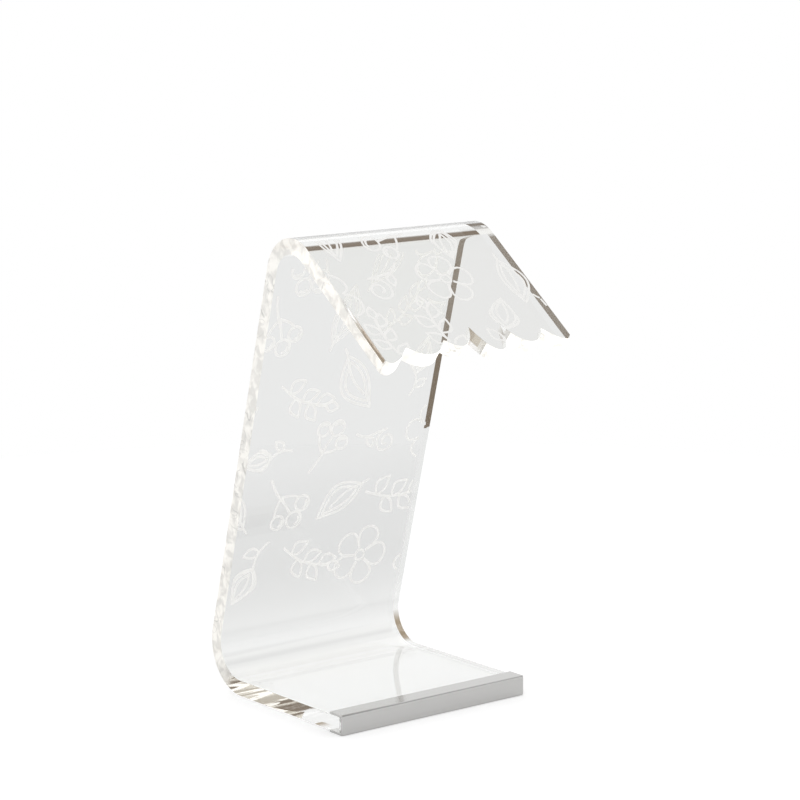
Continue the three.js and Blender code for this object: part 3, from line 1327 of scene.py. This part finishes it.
def berries() -> list[Stroke]:
    """Draws three berries on one forked stem.

    Returns:
        Its strokes.
    """
    fork, gleam = -0.12, 0.62
    strokes = [trace(lambda t: (0.03 * math.sin(3 * t), -0.5 + 0.5 * t), 12)]
    for side, height, size in ((-1, 0.22, 0.12), (0, 0.36, 0.13), (1, 0.2, 0.11)):
        across = 0.24 * side

        def stalk(t: float, across: float = across, rise: float = height - size - fork) -> Pair:
            """Runs from the fork to the foot of a berry."""
            return across * t * (1.6 - 0.6 * t), fork + rise * t

        strokes += [trace(stalk, 12), ring(size, (across, height))]
        strokes += moved([ring(size * gleam, turns=0.3)], (across, height), 1.2, 1.0)
    return strokes


DRAWINGS: dict[Motif, Callable[[], list[Stroke]]] = {
    Motif.LEAF: leaf,
    Motif.BLOSSOM: blossom,
    Motif.SPRIG: sprig,
    Motif.BUD: bud,
    Motif.TENDRIL: tendril,
    Motif.BERRIES: berries,
}


@dataclass
class Engraving:
    """Plants drawn in fine lines in the sheet's outer face, from above the rear bend to the petals."""

    form: SheetForm
    line_width: float = 1.6 * MM
    line_height: float = 0.12 * MM
    start: float = 40 * MM
    row_pitch: float = 41 * MM
    across_pitch: float = 45 * MM
    stagger: float = 0.25
    jitter: float = 4.5 * MM
    smallest: float = 36 * MM
    largest: float = 49 * MM
    margin: float = 1.0 * MM
    bend_reach: float = 6 * MM
    inner_glow: float = 0.465
    outer_glow: float = 0.21
    seed: int = 17

    def fits(self, point: Vector) -> bool:
        """Says whether a line may run through a point, clear of the edges and of most of the top bend.

        Args:
            point: The point in the flat.

        Returns:
            Whether it may.
        """
        side = self.form.width / 2 - self.margin
        top_start, top_end = self.form.stations[2:]
        bent = top_start - self.margin < point.y < top_end - self.bend_reach
        return not bent and abs(point.x) < side and point.y < self.form.reach(point.x) - self.margin

    def clipped(self, stroke: Stroke) -> Iterator[Stroke]:
        """Takes off the parts of a stroke where no line may run.

        Args:
            stroke: The stroke.

        Yields:
            Each part that is left.
        """
        run: Stroke = []
        for point in stroke:
            if self.fits(point):
                run.append(point)
                continue
            if len(run) > 1:
                yield run
            run = []
        if len(run) > 1:
            yield run

    def strokes(self) -> Iterator[Stroke]:
        """Draws the plants in the flat, motif by motif in staggered rows.

        Yields:
            Each line of the drawing.
        """
        chance = random.Random(self.seed)
        first = self.form.stations[1] + self.start
        rows = math.ceil((self.form.length - first) / self.row_pitch)
        columns = math.ceil(self.form.width / self.across_pitch) + 1
        pool: list[Motif] = []
        for row in range(rows):
            shift = self.stagger if row % 2 else -self.stagger
            for column in range(columns):
                if not pool:
                    pool = list(Motif)
                    chance.shuffle(pool)
                motif = pool.pop()
                across = (column - (columns - 1) / 2 + shift) * self.across_pitch
                place = Vector((across, first + row * self.row_pitch))
                place += Vector((chance.uniform(-1, 1), chance.uniform(-1, 1))) * self.jitter
                size = chance.uniform(self.smallest, self.largest)
                for stroke in moved(DRAWINGS[motif](), place, chance.uniform(0, math.tau), size):
                    yield from self.clipped(stroke)

    def build(self) -> Piece:
        """Makes the engraved lines.

        Returns:
            The finished piece.
        """
        curve = bpy.data.curves.new("engraved_lines", "CURVE")
        curve.dimensions = "3D"
        curve.bevel_depth = self.line_width / 2
        curve.bevel_resolution = 0
        curve.use_fill_caps = True
        for stroke in self.strokes():
            spline = curve.splines.new("POLY")
            spline.points.add(len(stroke) - 1)
            for target, point in zip(spline.points, stroke):
                target.co = (point.x, point.y, 0, 1)
        piece = bpy.data.objects.new("engraved_lines", curve)
        bpy.context.scene.collection.objects.link(piece)
        pick(piece)
        bpy.ops.object.convert(target="MESH")
        piece = named("engraved_lines")
        mesh = piece.data
        glow = mesh.attributes.new("glow", "FLOAT", "CORNER")
        for polygon in mesh.polygons:
            for loop in polygon.loop_indices:
                glow.data[loop].value = self.inner_glow if polygon.normal.z > 0 else self.outer_glow
        squash = self.line_height / self.line_width
        for vertex in mesh.vertices:
            flat = Vector((vertex.co.x, vertex.co.y, vertex.co.z * squash))
            vertex.co = self.form.bend(flat)
        pick(piece)
        bpy.ops.object.shade_flat()
        return piece


# The profile and what is in it


@dataclass
class BaseChannel:
    """The aluminium U profile that is pushed over the sheet's front edge."""

    wall: float = 1.5 * MM
    outer_round: float = 1.1 * MM
    inner_round: float = 0.3 * MM
    tip_round: float = 0.35 * MM
    saw_arris: float = 0.12 * MM

    def build(self) -> Piece:
        """Makes the profile.

        Returns:
            The finished piece.
        """
        low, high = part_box("base_channel")
        inside = low.y + self.wall
        piece = block("u_profile", low, Vector((high.x, inside, high.z)))
        levels = (low.z + self.wall, high.z - self.wall)
        with editing(piece):
            for level in levels:
                bpy.ops.mesh.select_all(action="SELECT")
                bpy.ops.mesh.bisect(plane_co=(0, 0, level), plane_no=(0, 0, 1))
            select_faces(piece, lambda face: self.ends_flange(face, levels))
            move = {"value": (0, high.y - inside, 0)}
            bpy.ops.mesh.extrude_region_move(TRANSFORM_OT_translate=move)
            outer = [low.z, high.z]
            for edges, radius, segments in (
                ([(low.y, level) for level in outer], self.outer_round, 6),
                ([(inside, level) for level in levels], self.inner_round, 4),
                ([(high.y, level) for level in (*outer, *levels)], self.tip_round, 4),
            ):
                self.break_edges(piece, edges, radius, segments)
            select_edges(piece, lambda one, other: min(abs(one.x), abs(other.x)) > high.x - NEAR)
            bpy.ops.mesh.bevel(offset=self.saw_arris, segments=2, affect="EDGES")
        smooth(piece)
        return piece

    @staticmethod
    def ends_flange(face: bmesh.types.BMFace, levels: Range) -> bool:
        """Says whether a face looks rearwards and lies below or above the profile's inside."""
        rearwards = face.normal.y > 0.9
        return rearwards and not levels[0] < face.calc_center_median().z < levels[1]

    @staticmethod
    def break_edges(piece: Piece, places: Sequence[Pair], radius: float, segments: int) -> None:
        """Rounds the long edges at some places.

        Args:
            piece: The profile in edit mode.
            places: The edges' y and z.
            radius: The round's radius.
            segments: How many steps it gets.
        """

        def wanted(one: Vector, other: Vector) -> bool:
            """Says whether an edge runs along X at one of the places."""
            near = any(abs(one.y - y) < NEAR and abs(one.z - z) < NEAR for y, z in places)
            return near and abs(one.x - other.x) > radius * 10

        select_edges(piece, wanted)
        bpy.ops.mesh.bevel(offset=radius, segments=segments, affect="EDGES")


@dataclass
class LedStrip:
    """What is stuck inside the profile: the tape, the board with its pads, the LEDs and resistors."""

    segment: float = 25 * MM
    pad: Vector = field(default_factory=lambda: Vector((1.6, 0.03, 0.9)) * MM)
    pad_row: float = 2.6 * MM
    pad_gap: float = 0.5 * MM
    pad_round: float = 0.012 * MM

    def pads(self) -> Piece:
        """Makes the tinned pads at every place where the strip may be cut.

        Returns:
            The pads as one piece.
        """
        low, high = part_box("strip_board")
        middle = (low.z + high.z) / 2
        count = round((high.x - low.x) / self.segment)
        half = self.pad / 2
        parts = []
        for number, side, row in product(range(1, count), (-1, 1), (-1, 1)):
            across = low.x + number * self.segment + side * (self.pad_gap + self.pad.x) / 2
            centre = Vector((across, high.y + half.y, middle + row * self.pad_row))
            parts.append(block("pad", centre - half, centre + half))
        piece = join("strip_pads", parts)
        apply_modifier(piece, "BEVEL", width=self.pad_round, segments=2)
        smooth(piece)
        return piece

    def build(self, finishes: Finishes) -> None:
        """Dresses the strip's CAD pieces and adds its pads.

        Args:
            finishes: The lamp's materials.
        """
        dressing = {
            "strip_tape": finishes.tape,
            "strip_board": finishes.board,
            "led_cup": finishes.cup,
            "led_gel": finishes.gel,
            "strip_resistor": finishes.resistor,
            "solder_joint": finishes.solder,
            "feed_wire_plus": finishes.red,
            "feed_wire_minus": finishes.black,
            "lead_grommet": finishes.rubber,
        }
        for name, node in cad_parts.items():
            for start, finish in dressing.items():
                if name.startswith(start):
                    dress(node, finish)
                    LOG.info("%s: CAD piece in %s", name, finish.name)
        pads = self.pads()
        dress(pads, finishes.pad)
        seat(pads, "solder")


@dataclass
class Feet:
    """The two clear bumper feet under the rear of the base."""

    rounding: float = 0.45 * MM

    def build(self, node: str) -> Piece:
        """Makes one foot.

        Args:
            node: The CAD node that it replaces.

        Returns:
            The finished piece.
        """
        low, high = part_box(node)
        clear_selection()
        bpy.ops.mesh.primitive_cylinder_add(
            vertices=64, radius=(high.x - low.x) / 2, depth=high.z - low.z, location=(low + high) / 2
        )
        piece = named("bumper_" + node)
        settle(piece)
        with editing(piece):
            select_edges(piece, lambda one, other: max(one.z, other.z) < low.z + NEAR)
            bpy.ops.mesh.bevel(offset=self.rounding, segments=5, affect="EDGES")
        smooth(piece)
        return piece


# The scene around the lamp


@dataclass(frozen=True)
class Camera:
    """The photograph's viewpoint, fitted to the lamp's edges."""

    azimuth: float = math.radians(-38.54)
    elevation: float = math.radians(10.2)
    distance: float = 1.7973
    lens: float = 128.12
    target: Triple = (0.01967, 0.01325, 0.18894)

    def place(self) -> None:
        """Adds the camera and makes it the scene's."""
        data = bpy.data.cameras.new("camera")
        data.lens = self.lens
        camera = bpy.data.objects.new("camera", data)
        around = Vector((math.sin(self.azimuth), -math.cos(self.azimuth), 0)) * math.cos(self.elevation)
        back = around + Vector((0, 0, math.sin(self.elevation)))
        camera.location = Vector(self.target) + back * self.distance
        camera.rotation_mode = "QUATERNION"
        camera.rotation_quaternion = (-back).to_track_quat("-Z", "Y")
        bpy.context.scene.collection.objects.link(camera)
        bpy.context.scene.camera = camera


@dataclass(frozen=True)
class SoftLight:
    """One square soft light, aimed at the lamp."""

    name: str
    place: Triple
    side: float
    power: float

    def hang(self, target: Vector) -> None:
        """Adds the light.

        Args:
            target: What it points at.
        """
        data = bpy.data.lights.new(self.name, "AREA")
        data.shape = "SQUARE"
        data.size = self.side
        data.energy = self.power
        light = bpy.data.objects.new(self.name, data)
        light.location = self.place
        light.rotation_mode = "QUATERNION"
        light.rotation_quaternion = (target - light.location).to_track_quat("-Z", "Y")
        bpy.context.scene.collection.objects.link(light)


def ray_masks(nodes: Nodes) -> tuple[Socket, Socket, Socket, Socket]:
    """Adds masks for how a place is seen.

    Args:
        nodes: The node tree.

    Returns:
        Masks for rays from the camera, rays straight through the sheet, rays reflected by anything,
        and rays that were reflected and have been in the sheet.
    """
    path = nodes.add("LightPath").outputs
    bounced = nodes.calc("ADD", path["Glossy Depth"], path["Diffuse Depth"])
    straight = nodes.calc("LESS_THAN", bounced, 0.5)
    through = nodes.calc("MULTIPLY", path["Is Transmission Ray"], straight)
    sharp = nodes.calc("LESS_THAN", path["Diffuse Depth"], 0.5)
    reflected = nodes.calc("MULTIPLY", sharp, nodes.calc("GREATER_THAN", path["Glossy Depth"], 0.5))
    inside = nodes.calc("MULTIPLY", reflected, nodes.calc("GREATER_THAN", path["Transmission Depth"], 0.5))
    return path["Is Camera Ray"], through, reflected, inside


@dataclass(frozen=True)
class Region:
    """A part of the room or of the table that has a colour of its own.

    Along each axis that it names it fades in from the first place to the second.
    """

    colour: Colour
    across: Range | None = None
    rearwards: Range | None = None
    height: Range | None = None

    def over(self, nodes: Nodes, place: Sequence[Socket], below: object) -> Socket:
        """Lays the region over a colour.

        Args:
            nodes: The node tree.
            place: The place or direction across, rearwards and up.
            below: The colour round it.

        Returns:
            The colour with the region in it.
        """
        mask = None
        for value, fade in zip(place, (self.across, self.rearwards, self.height)):
            if fade:
                levels = (0.0, 1.0) if fade[0] < fade[1] else (1.0, 0.0)
                step = nodes.step(value, min(fade), max(fade), *levels)
                mask = step if mask is None else nodes.calc("MULTIPLY", mask, step)
        return nodes.blend(mask, below, self.colour)


@dataclass(frozen=True)
class Room:
    """The room round the table, as a brown photographer's studio shows in glass and metal.

    A ray that has been reflected sees the room. One that goes straight through the sheet sees the backdrop.
    The ramps run with the height of a direction, from 0 straight down to 1 straight up.
    """

    ambient: float = 0.75
    backdrop: float = 0.83
    screen_direction: Triple = (0.62, 0.78, 0.0)
    screen_edge: Range = (0.5, 0.8)
    screen_top: Range = (0.34, 0.48)
    screen_low: Range = (-0.08, 0.0)
    screen_tones: Range = (1.25, 0.93)
    metal_tone: float = 0.9
    walls: tuple[Stop, ...] = (
        (0.0, (0.5, 0.48, 0.45, 1)),
        (0.36, (0.1, 0.065, 0.035, 1)),
        (0.47, (0.2, 0.135, 0.075, 1)),
        (0.53, (0.6, 0.57, 0.53, 1)),
        (0.62, (0.6, 0.57, 0.53, 1)),
        (0.68, (0.46, 0.41, 0.33, 1)),
        (0.91, (0.5, 0.45, 0.37, 1)),
        (0.97, (1.0, 0.99, 0.97, 1)),
    )
    left_wall: tuple[Stop, ...] = (
        (0.5, (0.15, 0.105, 0.06, 1)),
        (0.58, (0.5, 0.48, 0.46, 1)),
        (0.65, (0.56, 0.54, 0.52, 1)),
        (0.7, (0.95, 0.94, 0.92, 1)),
    )
    left_edge: Range = (-0.3, -0.2)
    ceiling: Region = Region((0.68, 0.63, 0.54, 1), rearwards=(-0.05, 0.1), height=(0.3, 0.36))
    far_corner: Region = Region((0.16, 0.11, 0.065, 1), (0.47, 0.55), (0.2, 0.35), (0.3, 0.36))
    front: Region = Region(grey(0.93), rearwards=(-0.6, -0.7), height=(0.45, 0.3))
    canopy: Region = Region(grey(0.02), rearwards=(0.02, -0.03), height=(0.3, 0.38))

    def build(self) -> None:
        """Gives the world its colours."""
        world = bpy.data.worlds.new("room")
        bpy.context.scene.world = world
        world.use_nodes = True
        world.node_tree.nodes.clear()
        nodes = Nodes(world.node_tree)
        camera, through, reflected, inside = ray_masks(nodes)
        direction = nodes.add("TexCoord").outputs["Generated"]
        place = tuple(nodes.add("SeparateXYZ", Vector=direction).outputs)
        across, _, height = place
        level = nodes.calc("MULTIPLY_ADD", height, 0.5, 0.5)
        walls = nodes.ramp(level, *self.walls)
        for region in (self.ceiling, self.far_corner, self.front):
            walls = region.over(nodes, place, walls)
        left = nodes.step(across, *self.left_edge, 1.0, 0.0)
        walls = nodes.blend(left, walls, nodes.ramp(level, *self.left_wall))
        metal = self.canopy.over(nodes, place, grey(self.metal_tone))
        towards = nodes.add("VectorMath", operation="DOT_PRODUCT")
        nodes.fill(towards.inputs[0], direction)
        towards.inputs[1].default_value = self.screen_direction
        edge = nodes.step(towards.outputs["Value"], *self.screen_edge)
        screen = nodes.calc("MULTIPLY", edge, nodes.step(height, *self.screen_top, 1.0, 0.0))
        bright = nodes.step(height, *self.screen_low, *self.screen_tones)
        room = nodes.blend(screen, nodes.blend(inside, metal, walls), bright)
        colour = nodes.blend(reflected, grey(self.ambient), room)
        colour = nodes.blend(through, colour, grey(self.backdrop))
        colour = nodes.blend(camera, colour, grey(1.0))
        background = nodes.add("Background", Color=colour)
        nodes.fill(nodes.add("OutputWorld").inputs[0], background.outputs[0])


@dataclass(frozen=True)
class Table:
    """The round white table. Where it is seen directly it is brightened, so that only shadows show.

    Through the sheet it glows by tones that run with the distance before or behind the lamp's middle. In the
    sheet's edges it shows the shade under the rear bend, and is a little darker far to the left.
    """

    radius: float = 0.85
    white: float = 0.8
    direct_lift: float = 0.34
    # Painted light: the table is brightened where glass and metal mirror it.
    mirror_lift: float = 0.12
    mirrored: float = 0.95
    far_start: Range = (0.14, 0.2)
    # Tones of painted light on the table seen through the sheet; the dip near 0.12 is a painted shadow line
    # behind the rear bend.
    through_tones: tuple[Pair, ...] = (
        (0.0, 0.36),
        (0.075, 0.36),
        (0.09, 0.28),
        (0.111, 0.23),
        (0.12, 0.1),
        (0.123, 0.1),
        (0.133, 0.2),
        (0.16, 0.21),
        (0.19, 0.16),
        (0.22, 0.13),
        (0.26, 0.08),
        (0.33, 0.035),
        (0.5, 0.05),
        (0.65, 0.1),
    )
    bend_shade: Region = Region((0.38, 0.3, 0.21, 1), rearwards=(0.08, 0.095))
    far_left: Region = Region(grey(0.82), across=(0.02, -0.06), rearwards=(0.17, 0.27))

    def build(self) -> None:
        """Adds the table as a part of the stage."""
        clear_selection()
        bpy.ops.mesh.primitive_circle_add(vertices=96, radius=self.radius, fill_type="NGON")
        top = named("table")
        shader = Shader("white_table", Base_Color=grey(self.white), Roughness=0.6, Specular_IOR_Level=0.0)
        camera, through, reflected, inside = ray_masks(shader)
        coordinates = shader.add("TexCoord").outputs["Object"]
        place = tuple(shader.add("SeparateXYZ", Vector=coordinates).outputs)
        rearwards = place[1]
        tones = [(stop, grey(tone)) for stop, tone in self.through_tones]
        seen_through = shader.ramp(shader.calc("ABSOLUTE", rearwards), *tones)
        level = shader.calc("MULTIPLY", through, seen_through)
        level = shader.calc("MULTIPLY_ADD", camera, self.direct_lift, level)
        level = shader.calc("MULTIPLY_ADD", reflected, self.mirror_lift, level)
        total = shader.add("AddShader")
        shader.fill(total.inputs[0], shader.surface.outputs[0])
        shader.fill(total.inputs[1], shader.add("Emission", Strength=level).outputs[0])
        near = self.bend_shade.over(shader, place, grey(self.mirrored))
        far = self.far_left.over(shader, place, grey(self.mirrored))
        mirrored = shader.blend(shader.step(rearwards, *self.far_start), near, far)
        shader.swap(inside, total.outputs[0], shader.add("Emission", Color=mirrored).outputs[0])
        dress(top, shader.material)
        top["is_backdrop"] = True


@dataclass
class Studio:
    """A white table before a pale backdrop, in a brown room with soft lights."""

    bounces: int = 24
    all_bounces: int = 32
    clear_bounces: int = 96
    lights: tuple[SoftLight, ...] = (
        SoftLight("key_light", (-1.2, -1.4, 1.9), 1.2, 8.0),
        SoftLight("fill_light", (1.6, -0.9, 1.2), 1.4, 4.0),
        SoftLight("back_light", (0.3, 1.8, 1.6), 1.4, 4.0),
    )

    def set_up(self) -> None:
        """Builds the room, the table, the lights and the camera."""
        scene = bpy.context.scene
        scene.view_settings.view_transform = "Standard"
        scene.cycles.max_bounces = self.all_bounces
        scene.cycles.glossy_bounces = self.bounces
        scene.cycles.transmission_bounces = self.bounces
        scene.cycles.transparent_max_bounces = self.clear_bounces
        Camera().place()
        Room().build()
        Table().build()
        low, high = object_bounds()
        for light in self.lights:
            light.hang((low + high) / 2)


def main() -> None:
    """Builds the lamp's pieces in order, and the scene around them."""
    logging.basicConfig(level=logging.INFO, format="%(name)s: %(message)s")
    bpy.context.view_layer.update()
    Studio().set_up()
    finishes = Finishes(Effects())
    form = SheetForm()
    sheet = AcrylicBody(form).build()
    dress(sheet, finishes.sheet_face, finishes.sheet_edge)
    seat(sheet, "clear_acrylic", "acrylic_body")
    lines = Engraving(form).build()
    dress(lines, finishes.engraving)
    seat(lines, "clear_acrylic")
    profile = BaseChannel().build()
    dress(profile, finishes.aluminium)
    seat(profile, "brushed_aluminium", "base_channel")
    LedStrip().build(finishes)
    for node in ("foot_left", "foot_right"):
        foot = Feet().build(node)
        dress(foot, finishes.silicone)
        seat(foot, "clear_silicone", node)


if __name__ == "__main__":
    main()
